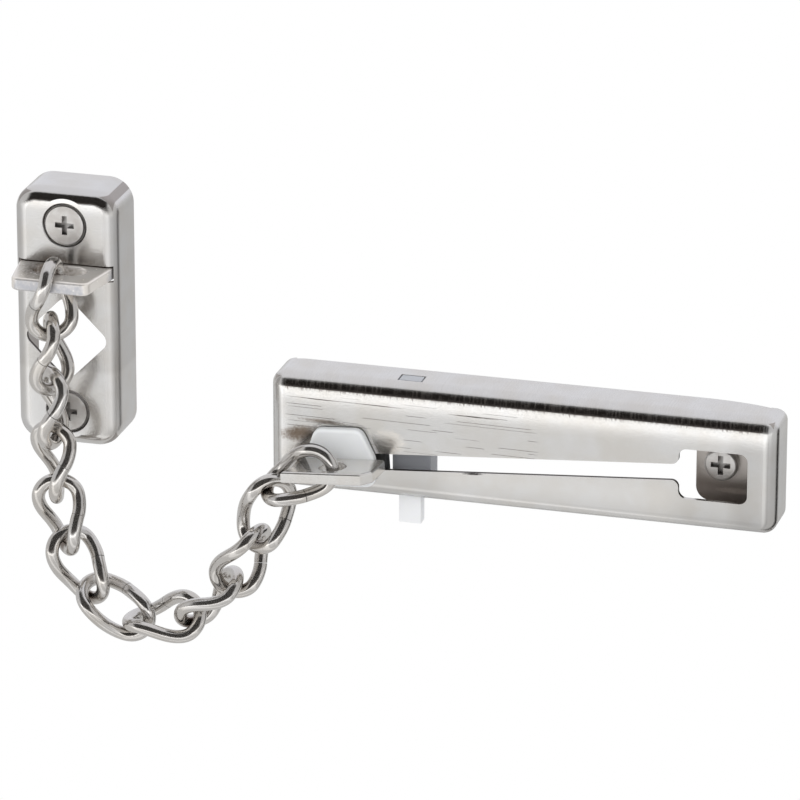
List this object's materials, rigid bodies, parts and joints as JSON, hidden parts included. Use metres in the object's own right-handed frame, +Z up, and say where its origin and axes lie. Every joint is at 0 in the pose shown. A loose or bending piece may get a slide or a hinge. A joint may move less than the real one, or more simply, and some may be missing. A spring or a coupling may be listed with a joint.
{
  "type": "door chain",
  "caption": "Nickel door chain: slotted rail with sliding chain end and lock, twisted-link chain, and keeper plate with a tab",
  "frame": {"origin": "centre of the rail's fixing screw in the entry window, on the door face", "axes": "X along the rail, away from the keeper; Y into the door; Z up"},
  "size_m": [0.1736, 0.0469, 0.103],
  "materials": {
    "rail_plate": "bright nickel plate",
    "keeper_plate": "bright nickel plate",
    "bracket_steel": "bright nickel plate",
    "slider_steel": "bright nickel plate",
    "chain_wire": "bright nickel plate",
    "screw_steel": "bright nickel plate",
    "white_plastic": "milky, slightly see-through",
    "dark_head": "dark moulded"
  },
  "bodies": {
    "rail_and_keeper": {"rail_housing": "rail_plate", "rail_screw_window": "screw_steel", "rail_screw_hidden": "screw_steel", "keeper_cover": "keeper_plate", "keeper_bracket": "bracket_steel", "keeper_screw_top": "screw_steel", "keeper_screw_bottom": "screw_steel"},
    "slider": {"slider_plate": "slider_steel", "slider_guard": "white_plastic", "slider_head": "dark_head"},
    "lock": {"lock_slide": "white_plastic"},
    "link_01": {"link_01": "chain_wire"},
    "link_02": {"link_02": "chain_wire"},
    "link_03": {"link_03": "chain_wire"},
    "link_04": {"link_04": "chain_wire"},
    "link_05": {"link_05": "chain_wire"},
    "link_06": {"link_06": "chain_wire"},
    "link_07": {"link_07": "chain_wire"},
    "link_08": {"link_08": "chain_wire"},
    "link_09": {"link_09": "chain_wire"},
    "link_10": {"link_10": "chain_wire"},
    "link_11": {"link_11": "chain_wire"},
    "link_12": {"link_12": "chain_wire"}
  },
  "joints": [
    {"name": "slider_run", "type": "slide", "parent": "rail_and_keeper", "child": "slider", "axis": [0.9976, 0, 0.0698], "range_m": [0, 0.06]},
    {"name": "lock_travel", "type": "slide", "parent": "rail_and_keeper", "child": "lock", "axis": [0, 0, 1], "range_m": [0, 0.007]},
    {"name": "link_01_swing", "type": "hinge", "parent": "rail_and_keeper", "child": "link_01", "pos_m": [-0.1475, -0.0218, 0.0366], "axis": [0, 1, 0], "range_deg": [-15.69, 0.5]},
    {"name": "link_02_swing", "type": "hinge", "parent": "link_01", "child": "link_02", "pos_m": [-0.1479, -0.02147, 0.02381], "axis": [0, 1, 0], "range_deg": [-27.99, 0.5]},
    {"name": "link_03_swing", "type": "hinge", "parent": "link_02", "child": "link_03", "pos_m": [-0.14821, -0.02113, 0.01102], "axis": [0, 1, 0], "range_deg": [-0.5, 0.78]},
    {"name": "link_04_swing", "type": "hinge", "parent": "link_03", "child": "link_04", "pos_m": [-0.1483, -0.0208, -0.00178], "axis": [0, 1, 0], "range_deg": [-0.5, 1.77]},
    {"name": "link_05_swing", "type": "hinge", "parent": "link_04", "child": "link_05", "pos_m": [-0.14777, -0.02047, -0.01456], "axis": [0, 1, 0], "range_deg": [-0.5, 3.72]},
    {"name": "link_06_swing", "type": "hinge", "parent": "link_05", "child": "link_06", "pos_m": [-0.14566, -0.02013, -0.02718], "axis": [0, 1, 0], "range_deg": [-0.5, 7.52]},
    {"name": "link_07_swing", "type": "hinge", "parent": "link_06", "child": "link_07", "pos_m": [-0.13999, -0.0198, -0.03865], "axis": [0, 1, 0], "range_deg": [-0.5, 8.77]},
    {"name": "link_12_swing", "type": "hinge", "parent": "slider", "child": "link_12", "pos_m": [-0.08653, -0.0178, -0.00372], "axis": [0, 1, 0], "range_deg": [-0.5, 11.95]},
    {"name": "link_11_swing", "type": "hinge", "parent": "link_12", "child": "link_11", "pos_m": [-0.09761, -0.01813, -0.01012], "axis": [0, 1, 0], "range_deg": [-0.5, 31.91]},
    {"name": "link_10_swing", "type": "hinge", "parent": "link_11", "child": "link_10", "pos_m": [-0.10179, -0.01847, -0.02221], "axis": [0, 1, 0], "range_deg": [-7.52, 0.5]},
    {"name": "link_09_swing", "type": "hinge", "parent": "link_10", "child": "link_09", "pos_m": [-0.10765, -0.0188, -0.03359], "axis": [0, 1, 0], "range_deg": [-15.38, 0.5]},
    {"name": "link_08_swing", "type": "hinge", "parent": "link_09", "child": "link_08", "pos_m": [-0.11686, -0.01913, -0.04247], "axis": [0, 1, 0], "range_deg": [-16.83, 0.5]}
  ],
  "couplings": [
    {"joint": "link_01_swing", "follows": "slider_run", "rad_per_m": -4.4191},
    {"joint": "link_02_swing", "follows": "slider_run", "rad_per_m": -7.9959},
    {"joint": "link_03_swing", "follows": "slider_run", "rad_per_m": 0.08213},
    {"joint": "link_04_swing", "follows": "slider_run", "rad_per_m": 0.37067},
    {"joint": "link_05_swing", "follows": "slider_run", "rad_per_m": 0.93735},
    {"joint": "link_06_swing", "follows": "slider_run", "rad_per_m": 2.0425},
    {"joint": "link_07_swing", "follows": "slider_run", "rad_per_m": 2.4045},
    {"joint": "link_12_swing", "follows": "slider_run", "rad_per_m": 3.3304},
    {"joint": "link_11_swing", "follows": "slider_run", "rad_per_m": 9.1355},
    {"joint": "link_10_swing", "follows": "slider_run", "rad_per_m": -2.0421},
    {"joint": "link_09_swing", "follows": "slider_run", "rad_per_m": -4.3286},
    {"joint": "link_08_swing", "follows": "slider_run", "rad_per_m": -4.7506}
  ]
}
